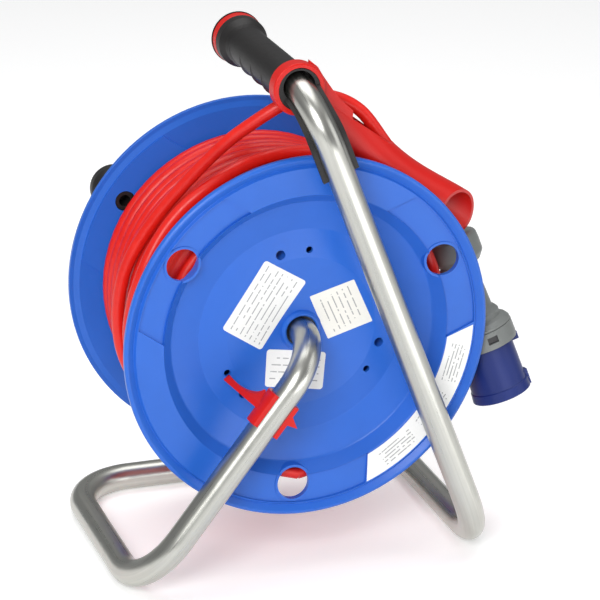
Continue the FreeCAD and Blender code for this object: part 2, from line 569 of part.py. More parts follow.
# thermal cut-out with its push button
out("cutout_body", solid(cyl_y(6.4, 128.0, 149.5, pb).fuse(cyl_y(8.6, 149.5, 151.6, pb)).fuse(prism_y([(pb.x - 7, pb.z - 5.5), (pb.x + 7, pb.z - 5.5), (pb.x + 7, pb.z + 5.5), (pb.x - 7, pb.z + 5.5)], 108, 129))
                    .cut(cyl_y(4.3, 136.0, 160, pb)).removeSplitter()))
out("reset_button", solid(rev([(0.0001, 142.0), (4.2, 142.0), (4.2, 154.8, 0.8), (0.0001, 155.2)], axis_at=V(pb.x, 0, pb.z))))
sp = cyl_y(3.0, 136.0, 142.0, pb).cut(cyl_y(2.2, 135, 143, pb))
sp = cyl_y(3.0, 136.0, 138.6, pb).cut(cyl_y(2.2, 135, 143, pb))
out("button_spring", solid(sp))

# ---------------------------------------------------------------- inside the barrel: terminals, cable clamp
tb = prism_y([(22, -20), (22, -36), (60, -36), (60, -20)], 24.4, 40.0)
tb = tb.fuse(prism_y([(24, -24), (24, -32), (58, -32), (58, -24)], 17.9, 24.6).common(rev([(10, 20.8), (70, 20.8), (70, 30), (10, 30)])))
tb = tb.cut(rev([(16.0, 0), (79, 0), (79, 22.0), (59.5, 20.5), (16.0, 23.7)]))
for k in range(3):
    tb = tb.cut(Part.makeCylinder(2.0, 20, V(29 + k * 12, 34.5, -18), V(0, 0, -1)))
    tb = tb.cut(cyl_y(1.6, 34, 42, V(29 + k * 12, 0, -28)))
out("terminal_block", solid(tb.cut(rear)))
ts = []
for k in range(3):
    ts.append(cyl_y(1.5, 35.5, 39.4, V(29 + k * 12, 0, -28)))
out("terminal_screws", Part.makeCompound(ts), 3)
ce = pol(70.5, ENTRY_PHI, ENTRY_Y)
er, et = radial_frame(ENTRY_PHI)
cl = Part.makeBox(24, 12, 9)
cl.Placement = FreeCAD.Placement(pol(64.0, ENTRY_PHI, 25.5) + et * -12, FreeCAD.Rotation(et, V(0, 1, 0), et.cross(V(0, 1, 0)), "XYZ"))
cl = cl.cut(rev([(16, 0), (79, 0), (79, 22.0), (59.5, 20.5), (16, 23.7)]))
print("clamp box", cl.BoundBox)
cl = cl.cut(Part.makeCylinder(4.9, 40, pol(50, ENTRY_PHI, ENTRY_Y), pol(1, ENTRY_PHI)))
cl = cl.fuse(prism_y([((pol(58, ENTRY_PHI) + et * 11).x, (pol(58, ENTRY_PHI) + et * 11).z), ((pol(72, ENTRY_PHI) + et * 11).x, (pol(72, ENTRY_PHI) + et * 11).z),
                      ((pol(72, ENTRY_PHI) - et * 11).x, (pol(72, ENTRY_PHI) - et * 11).z), ((pol(58, ENTRY_PHI) - et * 11).x, (pol(58, ENTRY_PHI) - et * 11).z)], 18, 25.8)
             .cut(rev([(10, 0), (82, 0), (82, 19.05), (59.5, 20.45), (10, 24.0)])).cut(cyl_y(3, 0, 1)))
cl = cl.cut(Part.makeCylinder(4.9, 40, pol(50, ENTRY_PHI, ENTRY_Y), pol(1, ENTRY_PHI)))
out("cable_clamp", solid(cl.removeSplitter().cut(rear)))
cs = []
for sgn in (1, -1):
    q = pol(66.5, ENTRY_PHI) + et * (8.2 * sgn)
    cs.append(cyl_y(3.0, 37.6, 39.6, q).cut(box(q.x - 2.5, q.x + 2.5, 38.8, 40, q.z - 0.5, q.z + 0.5)))
out("clamp_screws", Part.makeCompound(cs), 2)
# core leads from the terminals to the sockets
wires = []
for k, (q, mid) in enumerate(((pc, V(34, 0, 8)), (pE[0], V(-30, 0, -12)), (pE[1], V(26, 0, -40)))):
    a = V(29 + k * 12, 0, -28)
    pts = [(a.x, 40.05, a.z, 0), (a.x, 58 + 4 * k, a.z, 10), (mid.x, 74 + 6 * k, mid.z, 12), (q.x * 0.9, 92, q.z * 0.9, 10), (q.x * 0.9, 111.9, q.z * 0.9, 0)]
    if k:
        pts = [(a.x, 40.05, a.z, 0), (a.x, 58 + 4 * k, a.z, 10), (mid.x, 74 + 6 * k, mid.z, 12), (q.x, 98, q.z, 10), (q.x, 121.9, q.z, 0)]
    wires.append(pipe(path_wire(pts), 1.5))
out("core_leads", Part.makeCompound(wires), 3)

# ---------------------------------------------------------------- crank knob on its stud
out("knob_stud", solid(rev([(4.6, 161.4, 0.4), (8.0, 161.4, 0.6), (8.0, 163.4), (6.0, 163.4), (6.0, 203.0, 0.6), (0.0001, 203.0), (0.0001, 178.0), (4.6, 178.0, 0.6)], axis_at=kp)))
out("crank_knob", solid(rev([(6.08, 168.1), (9.6, 168.1, 0.8), (10.0, 174.0, 6), (15.0, 181.0, 6), (19.6, 190.0, 7), (18.6, 200.5, 8), (12.6, 209.0, 7), (0.0001, KNOB_END),
                             (0.0001, 203.3), (6.08, 203.3)], axis_at=kp)))

# ---------------------------------------------------------------- labels: thin skins on the face of the near half
skin_pts = [(17.0, y_on(FACE, 17.0)), (59.5, 17.2, 1.5), (82.0, 19.0, 2.5), (104.0, y_on(FACE, 104.0))]
TL = 0.22


def skin(pts):
    lo = [(p[0], p[1] - 0.01, p[2] if len(p) > 2 else 0) for p in pts]
    hi = [(p[0], p[1] - TL, p[2] if len(p) > 2 else 0) for p in reversed(pts)]
    return rev(lo + hi)


sk = skin(skin_pts)
for nm, c4, f in (("label_rating", [(-29.3, 60.4), (4.0, 39.4), (-32.1, -12.6), (-63.6, 8.8)], 2.5),
                  ("label_square", [(6.9, 26.5), (41.9, 37.5), (57.6, 1.9), (22.3, -9.7)], 0.8),
                  ("label_code", [(-27.1, -12.6), (-29.1, -42.5), (17.6, -50.4), (20.7, -20.5)], 2.5)):
    out(nm, solid(sk.common(prism_y(c4, 0, 40, f))))
arc_skin = skin([(114.8, y_on(FACE, 114.8)), (134.6, y_on(FACE, 134.6))])
p1, p2, p3, p4 = pol(114.0, 296.4), pol(136.0, 291.3), pol(114.0, 353.5), pol(136.0, 358.6)
m1 = p2 + (p2 - p1) * 0.6
m2 = p4 + (p4 - p3) * 0.6
n1, n2 = p1 + (p1 - p2) * 0.4, p3 + (p3 - p4) * 0.4
far = pol(260, 325)
out("label_curved", solid(arc_skin.common(prism_y([(n1.x, n1.z), (m1.x, m1.z), (far.x, far.z), (m2.x, m2.z), (n2.x, n2.z)], -10, 40))))

# ---------------------------------------------------------------- wound cable as one solid
coil = rev([(R_BARREL + 0.3, 22.7), (106.9, 16.8), (113.0, 9.2), (COIL_R, 8.2), (COIL_R, W_DRUM - 8.2), (113.0, W_DRUM - 9.2), (106.9, W_DRUM - 16.8), (R_BARREL + 0.3, W_DRUM - 22.7)])
out("cable_coil", coil)

# ---------------------------------------------------------------- drum lock on the left leg
leg_l = V(-FOOT_X, 0, FLOOR_Z)
leg_l.normalize()
nl = V(leg_l.z, 0, -leg_l.x)      # across the left leg, up and to the left
LK0, LK1 = 45.5, 73.8             # stretch of the leg that the saddle covers


def lp(t, n, y):
    return V(0, LEG_Y, 0) + leg_l * t + nl * n + V(0, y, 0)


c0 = lp(LK0, 0, 0)
sad = Part.makeCylinder(14.0, LK1 - LK0, c0, leg_l).cut(Part.makeCylinder(TUBE_R + 0.1, 100, lp(20, 0, 0), leg_l))


def lhex(t0, t1, n0, n1, y0, y1):
    P = [lp(t0, n0, y0), lp(t1, n0, y0), lp(t1, n1, y0), lp(t0, n1, y0)]
    w = Part.Wire([Part.LineSegment(P[i], P[(i + 1) % 4]).toShape() for i in range(4)])
    return solid(Part.Face(w).extrude(V(0, y1 - y0, 0)))


sad = sad.cut(lhex(LK0 - 5, LK1 + 5, -30, 30, -40, -7.5))                         # open towards the front
P = [lp(53.0, -11.8, -7.5), lp(58.5, -20.5, -7.5), lp(60.5, -11.8, -7.5)]
nub = solid(Part.Face(Part.Wire([Part.LineSegment(P[i], P[(i + 1) % 3]).toShape() for i in range(3)])).extrude(V(0, 3.5, 0)))


def quad(P):
    return Part.Wire([Part.LineSegment(P[i], P[(i + 1) % 4]).toShape() for i in range(4)])


# finger: from the saddle's upper side to a tip that stands over a lock hole
fa = [lp(59.0, 11.0, -7.0), lp(62.6, 11.0, -7.0), lp(62.6, 12.5, 8.0), lp(48.5, 12.5, 8.0)]
fb = [V(-59.4, 12.6, -27.8), V(-63.4, 12.6, -31.1), V(-62.9, 15.6, -31.5), V(-58.9, 15.6, -28.2)]
finger = solid(Part.makeLoft([quad(fa), quad(fb)], True, True))
# its upper edge is hollowed between saddle and tip
ea, eb = lp(48.5, 12.5, 0), V(-58.9, 0, -28.2)
ea.y = 0
e0, e1 = ea + (eb - ea) * 0.05, ea + (eb - ea) * 0.96
chord = e1 - e0
away = V(-chord.z, 0, chord.x)
away.normalize()
if away.dot(ea - lp(62.6, 12.5, 0)) < 0:
    away = away * -1
SAG = 4.2
e_r = (chord.Length ** 2 / 4 + SAG ** 2) / (2 * SAG)
finger = solid(finger.cut(cyl_y(e_r, -20, 40, (e0 + e1) * 0.5 + away * (e_r - SAG))))
print("finger", finger.isValid(), round(finger.Volume, 1))
lock = sad.fuse(nub).fuse(finger).cut(Part.makeCylinder(TUBE_R + 0.1, 100, lp(20, 0, 0), leg_l))
lock = solid(lock.removeSplitter())
out("lock_clip", lock)

# ---------------------------------------------------------------- lead and plug
PL_A = V(127.65, 48.0, 55.70)
pd = V(0.304, -0.195, -0.932)
pd.normalize()
pn = V(0.94, 0, 0.34)
PL_LEN = 138.5
ECC = 4.0
PIN_Z, PIN_L = 112.15, 21.0
nut = revz([(0.0001, 2.5), (15.0, 2.5, 2.0), (19.6, 4.1, 4.0), (20.3, 11, 8), (20.3, 21.0, 3.0), (16.0, 27.0, 1.5), (0.0001, 27.0)])
nut = nut.cut(Part.makeCone(9.5, 5.5, 9.0, V(0, 0, 2.49))).cut(Part.makeCylinder(5.5, 40, V(0, 0, -1)))
nut.translate(V(ECC, 0, 0))
body_pts = [(0.0001, 14.0), (5.4, 14.0), (12.6, 14.0, 1.0), (12.6, 26.0), (14.4, 30.0, 1.5), (15.8, 54.0, 6), (16.3, 65.3, 1.0), (18.1, 67.3, 0.8), (20.0, 69.8, 0.8),
            (20.1, 74.1, 0.5), (23.8, 75.8, 1.2), (26.2, 78.9, 1.5), (26.1, 80.7, 0.2), (25.4, 81.0), (26.6, 81.4, 0.2), (26.9, 92.0, 3.0), (26.6, 95.0), (0.0001, 95.0)]
pbody = revz(body_pts)
nut = nut.cut(pbody)
collar = revz([(19.6, 95.1), (21.9, 95.1), (22.2, 112.0), (22.5, 130.3), (23.3, 130.8, 0.3), (24.0, PL_LEN, 0.8), (21.8, PL_LEN, 0.4), (20.8, 112.0), (20.8, 103.0), (19.6, 103.0)])
keyn = Part.makeBox(2.6, 7.0, 12.4, V(21.6, -1.0, PL_LEN - 12.5)).fuse(Part.makeBox(6.0, 6.4, 6.1, V(21.4, -3.2, 95.1)))
collar = collar.fuse(keyn).cut(revz([(0.0001, 103.1), (20.8, 103.1), (20.8, 112), (21.8, PL_LEN + 1), (0.0001, PL_LEN + 1)]))
carrier = revz([(0.0001, 95.1), (19.5, 95.1), (19.5, 102.9), (17.2, 104.0), (17.2, 112.0, 0.8), (0.0001, 112.0)])
pins3 = []
for k, a in enumerate((0, 120, 240)):
    x, y = 10.2 * math.cos(math.radians(a)), 10.2 * math.sin(math.radians(a))
    r = 3.5 if k == 0 else 2.5
    carrier = carrier.cut(Part.makeCylinder(r - 0.48, 40, V(x, y, 90.0)))
    pin = Part.makeCylinder(r - 0.5, PIN_Z - 95.3 + 0.5, V(x, y, 95.3)).fuse(Part.makeCylinder(r, PIN_L, V(x, y, PIN_Z)))
    pins3.append(solid(pin.fuse(Part.makeCone(r, r - 0.8, 1.0, V(x, y, PIN_Z + PIN_L))).removeSplitter()))
slot = Part.makeBox(8.6, 8.0, 5.5, V(-3.0, 22.0, 85.0))
pbody = pbody.cut(slot)
latch = Part.makeBox(8.2, 2.6, 5.1, V(-2.8, 22.4, 85.2))


def plug_out(nm, s, n=1):
    if n == 1:
        s = solid(s)
    out(nm, place(s, PL_A, pd, pn), n)


plug_out("plug_gland_nut", nut.removeSplitter())
plug_out("plug_body", pbody.removeSplitter())
plug_out("plug_latch", latch.common(revz(body_pts)))
plug_out("plug_collar", collar.removeSplitter())
plug_out("plug_carrier", carrier)
plug_out("plug_pins", Part.makeCompound(pins3), 3)

# lead: an extra turn on the coil, up over the ring, through the guide to the plug
LR = 129.0
base = [pol(LR, 227.5, 88.0), pol(LR, 202.5, 88.0), pol(LR, 177.5, 87.5), pol(LR, 152.5, 86.0), V(-57.5, 57.5, 138.0), V(-20.5, 42.0, 168.6)]
cc, cr = V(15, 0, 128.5), 52.0
th = [30 - 14.5 * k for k in range(7)]
mids = []
for k in range(6):
    a = math.radians((th[k] + th[k + 1]) / 2)
    rr = cr / math.cos(math.radians(7.25))
    mids.append(V(cc.x - rr * math.sin(a), 39.5 - 1.7 * k, cc.z + rr * math.cos(a)))
tail = [V(71.6, 27.5, 136.6), V(103.0, 25.5, 96.0), V(118.6, 33.0, 77.2)]
endp = PL_A + pn * ECC
last = endp + pd * 13.7
route = base + mids + tail + [endp - pd * 3.0, last]
lead_pts = []
for i, p in enumerate(route):
    r = 0.0
    if 0 < i < len(route) - 1:
        u = route[i - 1] - p
        v = route[i + 1] - p
        run = min(u.Length, v.Length)
        turn = math.pi - u.getAngle(v)
        r = 0.45 * run / math.tan(turn / 2) if turn > 1e-4 else 0.0
        print("lead point %2d (%.1f, %.1f, %.1f) run %.1f turn %.1f radius %.1f" % (i, p.x, p.y, p.z, (p - route[i - 1]).Length, math.degrees(turn), r))
    lead_pts.append((p.x, p.y, p.z, r))
lwire = path_wire(lead_pts)
lead = pipe(lwire, CABLE_D / 2)
print("lead length %.1f volume ratio %.4f" % (lwire.Length, lead.Volume / (math.pi * 25 * lwire.Length)))
out("lead_cord", lead)
# the grip clears the lead passing under it
grip = grip.cut(pipe(lwire, CABLE_D / 2 + 0.4))
out("handle_grip", max(grip.Solids, key=lambda q: q.Volume))
# the guide clears the lead's bore and the gland nut
clear = place(Part.makeCylinder(45.0, 60.0, V(ECC, 0, 1.9)), PL_A, pd, pn)
guide = guide.cut(clear)
guide = guide.cut(pipe(lwire, CABLE_D / 2 + 0.3))
print("guide solids", [round(q.Volume, 1) for q in guide.Solids], guide.isValid())
guide = max(guide.Solids, key=lambda q: q.Volume)
out("cable_guide", guide)
print("lead in guide", round(lead.common(guide).Volume, 2), "nut in guide", round(place(nut, PL_A, pd, pn).common(guide).Volume, 2))
print("bounds:", [round(v, 2) for v in (min(s.BoundBox.XMin for _, s in NODES), max(s.BoundBox.XMax for n, s in NODES if "plug" not in n and "lead" not in n),
                                        min(s.BoundBox.YMin for _, s in NODES), max(s.BoundBox.YMax for _, s in NODES), min(s.BoundBox.ZMin for _, s in NODES), max(s.BoundBox.ZMax for _, s in NODES))])
for nm, (c, et) in lids.items():
    q = c + SHIFT
    print("hinge", nm, [round(q.x, 3), round(q.y, 3), round(q.z, 3)], [round(et.x, 5), round(et.y, 5), round(et.z, 5)])
print("knob", kp + SHIFT, "button", pb + SHIFT, "lock", V(0, LEG_Y, 0) + SHIFT, leg_l, "nodes", len(NODES))
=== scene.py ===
import json, math
import bpy, bmesh
from mathutils import Vector, Matrix, noise

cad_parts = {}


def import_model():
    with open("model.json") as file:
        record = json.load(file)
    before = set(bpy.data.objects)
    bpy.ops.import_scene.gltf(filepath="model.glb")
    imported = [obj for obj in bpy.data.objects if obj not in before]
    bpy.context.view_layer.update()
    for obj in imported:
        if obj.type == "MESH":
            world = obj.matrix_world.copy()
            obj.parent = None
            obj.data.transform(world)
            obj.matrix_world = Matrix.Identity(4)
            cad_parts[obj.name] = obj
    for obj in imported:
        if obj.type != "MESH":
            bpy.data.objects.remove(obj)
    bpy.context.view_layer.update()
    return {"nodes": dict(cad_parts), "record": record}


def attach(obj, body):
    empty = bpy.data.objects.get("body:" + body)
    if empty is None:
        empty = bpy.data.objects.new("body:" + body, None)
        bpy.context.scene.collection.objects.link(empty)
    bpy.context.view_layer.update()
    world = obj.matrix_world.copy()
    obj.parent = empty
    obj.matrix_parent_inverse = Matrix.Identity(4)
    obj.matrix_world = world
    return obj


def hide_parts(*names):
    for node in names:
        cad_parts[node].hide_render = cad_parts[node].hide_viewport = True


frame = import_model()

N = frame["nodes"]


# ------------------------------------------------------------------ helpers
def D(x, y, z):
    """Drum-centred millimetres (axis through 0, y, 0; near rim at y = 0) to the row frame in metres."""
    return Vector((x / 1000.0, (y - 88.25) / 1000.0, (z + 193.75) / 1000.0))


def P(r, phi, y):
    a = math.radians(phi)
    return D(r * math.cos(a), y, r * math.sin(a))


def obj(name, data):
    o = bpy.data.objects.new(name, data)
    bpy.context.scene.collection.objects.link(o)
    return o


# ------------------------------------------------------------------ camera
az, el, roll = math.radians(-18.895), math.radians(20.333), math.radians(0.627)
back = Vector((math.sin(az) * math.cos(el), -math.cos(az) * math.cos(el), math.sin(el)))
right = Vector((math.cos(az), math.sin(az), 0.0))
up = back.cross(right)
r2 = right * math.cos(roll) + up * math.sin(roll)
u2 = up * math.cos(roll) - right * math.sin(roll)
cam = obj("camera", bpy.data.cameras.new("camera"))
cam.matrix_world = Matrix(((r2.x, u2.x, back.x, -0.6735), (r2.y, u2.y, back.y, -2.01975), (r2.z, u2.z, back.z, 0.99165), (0, 0, 0, 1)))
cam.data.sensor_width = 36.0
cam.data.lens = 173.6
cam.data.shift_x = 0.010
cam.data.shift_y = -0.0177
cam.data.clip_start, cam.data.clip_end = 0.05, 60.0
bpy.context.scene.camera = cam


# ------------------------------------------------------------------ materials
class Mat:
    """A small builder round a node material."""

    def __init__(self, name, rough=0.4, metallic=0.0, spec=0.5, coat=0.0, coat_rough=0.2, ior=1.46):
        self.m = bpy.data.materials.new(name)
        self.m.use_nodes = True
        self.t = self.m.node_tree
        self.b = self.t.nodes["Principled BSDF"]
        self.b.inputs["Roughness"].default_value = rough
        self.b.inputs["Metallic"].default_value = metallic
        self.b.inputs["Specular IOR Level"].default_value = spec
        self.b.inputs["IOR"].default_value = ior
        self.b.inputs["Coat Weight"].default_value = coat
        self.b.inputs["Coat Roughness"].default_value = coat_rough
        self.co = self.node("ShaderNodeTexCoord")
        self.normal = None

    def node(self, kind, **kw):
        n = self.t.nodes.new(kind)
        for k, v in kw.items():
            setattr(n, k, v)
        return n

    def link(self, a, b):
        self.t.links.new(a, b)

    def coords(self, scale=(1, 1, 1), space="Object", rot=(0, 0, 0), loc=(0, 0, 0)):
        mp = self.node("ShaderNodeMapping")
        mp.inputs["Scale"].default_value = scale
        mp.inputs["Rotation"].default_value = rot
        mp.inputs["Location"].default_value = loc
        self.link(self.co.outputs[space], mp.inputs["Vector"])
        return mp.outputs["Vector"]

    def noise(self, scale, detail=3.0, rough=0.5, vec=None, distortion=0.0):
        n = self.node("ShaderNodeTexNoise")
        n.inputs["Scale"].default_value = scale
        n.inputs["Detail"].default_value = detail
        n.inputs["Roughness"].default_value = rough
        n.inputs["Distortion"].default_value = distortion
        self.link(vec if vec is not None else self.co.outputs["Object"], n.inputs["Vector"])
        return n.outputs["Fac"]

    def voronoi(self, scale, vec=None, feature="F1"):
        n = self.node("ShaderNodeTexVoronoi", feature=feature)
        n.inputs["Scale"].default_value = scale
        self.link(vec if vec is not None else self.co.outputs["Object"], n.inputs["Vector"])
        return n.outputs["Distance"]

    def ramp(self, fac, stops):
        r = self.node("ShaderNodeValToRGB")
        e = r.color_ramp.elements
        while len(e) > 1:
            e.remove(e[-1])
        e[0].position, e[0].color = stops[0][0], (*stops[0][1], 1)
        for p, c in stops[1:]:
            k = e.new(p)
            k.color = (*c, 1)
        self.link(fac, r.inputs["Fac"])
        return r.outputs["Color"]

    def rng(self, fac, a, b, lo=0.0, hi=1.0):
        r = self.node("ShaderNodeMapRange")
        r.inputs["From Min"].default_value = lo
        r.inputs["From Max"].default_value = hi
        r.inputs["To Min"].default_value = a
        r.inputs["To Max"].default_value = b
        self.link(fac, r.inputs["Value"])
        return r.outputs["Result"]

    def mix(self, fac, a, b, blend="MIX"):
        n = self.node("ShaderNodeMix", data_type="RGBA", blend_type=blend)
        if isinstance(fac, (int, float)):
            n.inputs[0].default_value = fac
        else:
            self.link(fac, n.inputs[0])
        for s, v in ((n.inputs[6], a), (n.inputs[7], b)):
            if isinstance(v, tuple):
                s.default_value = (*v, 1) if len(v) == 3 else v
            else:
                self.link(v, s)
        return n.outputs[2]

    def math(self, op, a, b=None):
        n = self.node("ShaderNodeMath", operation=op)
        for s, v in zip(n.inputs, (a, b)):
            if v is None:
                continue
            if isinstance(v, (int, float)):
                s.default_value = v
            else:
                self.link(v, s)
        return n.outputs[0]

    def color(self, c):
        self.link(c, self.b.inputs["Base Color"])

    def rough(self, r):
        self.link(r, self.b.inputs["Roughness"])

    def bump(self, h, dist, strength=1.0):
        n = self.node("ShaderNodeBump")
        n.inputs["Strength"].default_value = strength
        n.inputs["Distance"].default_value = dist
        self.link(h, n.inputs["Height"])
        if self.normal is not None:
            self.link(self.normal, n.inputs["Normal"])
        self.normal = n.outputs["Normal"]
        self.link(self.normal, self.b.inputs["Normal"])


def plastic(name, base, dark=0.88, light=1.06, rough=0.38, grain=2600.0, grain_d=0.00002, spec=0.5, coat=0.0, wave=True, sat=None, scuff=0.05):
    """Moulded plastic: faint colour drift, fine spark-eroded grain, slow waviness and light scuffs in the gloss."""
    m = Mat(name, rough, 0.0, spec, coat)
    n1 = m.noise(9.0, 3.0)
    n2 = m.noise(70.0, 4.0, 0.6)
    f = m.math("ADD", m.math("MULTIPLY", n1, 0.7), m.math("MULTIPLY", n2, 0.3))
    m.color(m.ramp(f, [(0.3, tuple(c * dark for c in base)), (0.5, base), (0.72, tuple(min(1.0, c * light) for c in base))]))
    sc = m.noise(140.0, 5.0, 0.7, m.coords((1.0, 1.0, 6.0), rot=(0.4, 0.3, 0.2)))
    m.rough(m.rng(m.math("ADD", m.math("MULTIPLY", sc, 0.6), m.math("MULTIPLY", n1, 0.4)), rough - scuff, rough + scuff, 0.3, 0.7))
    if wave:
        m.bump(m.noise(28.0, 2.0), 0.00035, 0.35)
    m.bump(m.noise(grain, 2.0), grain_d, 0.6)
    return m.m


M = {}
M["drum_blue"] = plastic("drum_blue", (0.019, 0.120, 0.540), rough=0.33, spec=0.36, dark=0.93, light=1.05)
M["panel_blue"] = plastic("panel_blue", (0.032, 0.125, 0.480), rough=0.42)
M["cee_blue"] = plastic("cee_blue", (0.018, 0.150, 0.540), rough=0.30)
M["guide_red"] = plastic("guide_red", (0.560, 0.010, 0.007), rough=0.38, spec=0.28, dark=0.95, light=1.03, wave=False, grain_d=0.00001)
M["grip_black"] = plastic("grip_black", (0.012, 0.011, 0.011), rough=0.48, grain=1500.0, grain_d=0.00006, dark=0.8, light=1.2, spec=0.38)
M["clip_black"] = plastic("clip_black", (0.016, 0.016, 0.018), rough=0.42)
M["socket_dark"] = plastic("socket_dark", (0.022, 0.024, 0.028), rough=0.42, spec=0.4)
M["plug_grey"] = plastic("plug_grey", (0.160, 0.171, 0.165), rough=0.42, grain=1900.0, grain_d=0.00004)
M["collar_blue"] = plastic("collar_blue", (0.006, 0.019, 0.140), rough=0.38, spec=0.36)
M["bush_white"] = plastic("bush_white", (0.700, 0.690, 0.640), rough=0.45)
M["button_green"] = plastic("button_green", (0.030, 0.360, 0.080), rough=0.30)
M["core_insulation"] = plastic("core_insulation", (0.250, 0.120, 0.060), rough=0.45)
M["seal_rubber"] = plastic("seal_rubber", (0.020, 0.020, 0.020), rough=0.75, wave=False)


def cord_mat():
    m = Mat("cord_red", 0.36, 0.0, 0.42)
    n1 = m.noise(14.0, 3.0)
    n2 = m.noise(160.0, 4.0, 0.65)
    f = m.math("ADD", m.math("MULTIPLY", n1, 0.6), m.math("MULTIPLY", n2, 0.4))
    m.color(m.ramp(f, [(0.3, (0.550, 0.009, 0.005)), (0.5, (0.650, 0.012, 0.007)), (0.72, (0.700, 0.017, 0.010))]))
    m.rough(m.rng(n2, 0.28, 0.44, 0.3, 0.7))
    m.bump(m.noise(75.0, 2.0), 0.0006, 0.30)
    m.bump(m.noise(1500.0, 2.0), 0.00003, 0.5)
    return m.m


M["cord_red"] = cord_mat()


def metal(name, base, rough, streak=None, spread=0.08, space="Object", bump_d=0.00002):
    m = Mat(name, rough, 1.0)
    v = m.coords(streak or (60, 60, 60), space)
    n1 = m.noise(1.0, 4.0, 0.6, v)
    n2 = m.noise(3.2, 3.0, 0.6, v)
    f = m.math("ADD", m.math("MULTIPLY", n1, 0.65), m.math("MULTIPLY", n2, 0.35))
    m.color(m.ramp(f, [(0.30, tuple(c * 0.80 for c in base)), (0.5, base), (0.70, tuple(min(1.0, c * 1.12) for c in base))]))
    m.rough(m.rng(f, rough - spread, rough + spread, 0.3, 0.7))
    m.bump(f, bump_d, 0.6)
    return m.m


def zinc_mat():
    m = Mat("zinc_steel", 0.30, 1.0)
    v = m.coords((22.0, 3.0, 1.0), "UV")
    n1 = m.noise(1.0, 4.0, 0.6, v)
    n2 = m.noise(3.0, 3.0, 0.6, v)
    n3 = m.noise(60.0, 4.0, 0.6)
    f = m.math("ADD", m.math("MULTIPLY", n1, 0.6), m.math("ADD", m.math("MULTIPLY", n2, 0.25), m.math("MULTIPLY", n3, 0.15)))
    c = m.ramp(f, [(0.30, (0.40, 0.40, 0.375)), (0.5, (0.49, 0.49, 0.455)), (0.70, (0.57, 0.57, 0.53))])
    # painted reflection: the zinc colour is lighter low down, towards the floor (Z under 0.16 m), standing in for the
    # white floor's light seen in the lower bends
    sep = m.node("ShaderNodeSeparateXYZ")
    m.link(m.co.outputs["Object"], sep.inputs[0])
    low = m.rng(sep.outputs["Z"], 0.0, 1.0, 0.02, 0.16)
    floor_reflection_tint = m.ramp(low, [(0.0, (1.0, 1.0, 0.99)), (1.0, (0.93, 0.93, 0.93))])
    m.color(m.mix(1.0, c, floor_reflection_tint, "MULTIPLY"))
    m.rough(m.rng(f, 0.22, 0.40, 0.3, 0.7))
    m.bump(n2, 0.000008, 0.5)
    return m.m


M["zinc_steel"] = zinc_mat()
M["bright_steel"] = metal("bright_steel", (0.66, 0.66, 0.66), 0.26, (400, 400, 400))
M["contact_brass"] = metal("contact_brass", (0.80, 0.62, 0.30), 0.24, (500, 500, 500))
M["pin_nickel"] = metal("pin_nickel", (0.76, 0.74, 0.68), 0.18, (300, 300, 300))


def label_mat(name, base, panels):
    """Film with generic rows of grey dashes in each label's own plane; it holds no text."""
    m = Mat(name, 0.42, 0.0, 0.45)
    paper = m.noise(900.0, 3.0)
    col = m.ramp(paper, [(0.3, tuple(c * 0.965 for c in base)), (0.7, base)])
    for centre, ex, ey, w, h, rows, margin in panels:
        def along(axis):
            d = m.node("ShaderNodeVectorMath", operation="DOT_PRODUCT")
            s = m.node("ShaderNodeVectorMath", operation="SUBTRACT")
            m.link(m.co.outputs["Object"], s.inputs[0])
            s.inputs[1].default_value = centre
            m.link(s.outputs[0], d.inputs[0])
            d.inputs[1].default_value = axis
            return d.outputs["Value"]

        u, v = along(ex), along(ey)
        inside = m.math("MULTIPLY", m.math("LESS_THAN", m.math("ABSOLUTE", u), w / 2 - margin), m.math("LESS_THAN", m.math("ABSOLUTE", v), h / 2 - margin))
        pitch = (h - 2 * margin) / rows
        q = m.math("ADD", m.math("DIVIDE", v, pitch), 100.0 + (0.5 if rows % 2 == 0 else 0.0))
        ph = m.math("ABSOLUTE", m.math("SUBTRACT", m.math("FRACT", m.math("ADD", q, 0.5)), 0.5))
        line = m.math("LESS_THAN", ph, 0.00045 / pitch)
        cell = m.node("ShaderNodeCombineXYZ")
        m.link(m.math("MULTIPLY", u, 260.0), cell.inputs["X"])
        m.link(m.math("MULTIPLY", m.math("FLOOR", m.math("ADD", q, 0.5)), 7.3), cell.inputs["Y"])
        gaps = m.math("GREATER_THAN", m.noise(1.0, 1.0, 0.5, cell.outputs[0]), 0.44)
        rule = m.math("MULTIPLY", m.math("MULTIPLY", line, inside), gaps)
        col = m.mix(m.math("MULTIPLY", rule, 0.70), col, (0.16, 0.16, 0.17))
    m.color(col)
    m.bump(m.noise(320.0, 2.0), 0.00004, 0.3)
    return m.m


M["label_white"] = label_mat("label_white", (0.82, 0.82, 0.80), [
    (tuple(D(-30.25, 17.5, 24.0)), (0.570, 0.0, 0.822), (-0.845, 0.0, 0.533), 0.0633, 0.0394, 7, 0.0035),
    (tuple(D(-4.5, 18.0, -31.5)), (0.986, 0.0, -0.167), (0.167, 0.0, 0.986), 0.0474, 0.0300, 4, 0.0040)] + [
    (tuple(P(124.7, a, 2.0)), (-math.sin(math.radians(a)), 0.0, math.cos(math.radians(a))), (math.cos(math.radians(a)), 0.0, math.sin(math.radians(a))), 0.036, 0.0190, 5, 0.0028)
    for a in (307.0, 325.5, 344.0)])
M["label_cream"] = label_mat("label_cream", (0.80, 0.78, 0.72), [
    (tuple(D(32.2, 18.5, 14.05)), (0.404, 0.0, -0.915), (0.915, 0.0, 0.404), 0.0389, 0.0367, 6, 0.0045)])

slot_of = {s["node"]: s["material_slot"] for s in frame["record"]["subparts"]}
for name, o in N.items():
    mt = M[slot_of[name]]
    if not o.material_slots:
        o.data.materials.append(mt)
    for s in o.material_slots:
        s.material = mt


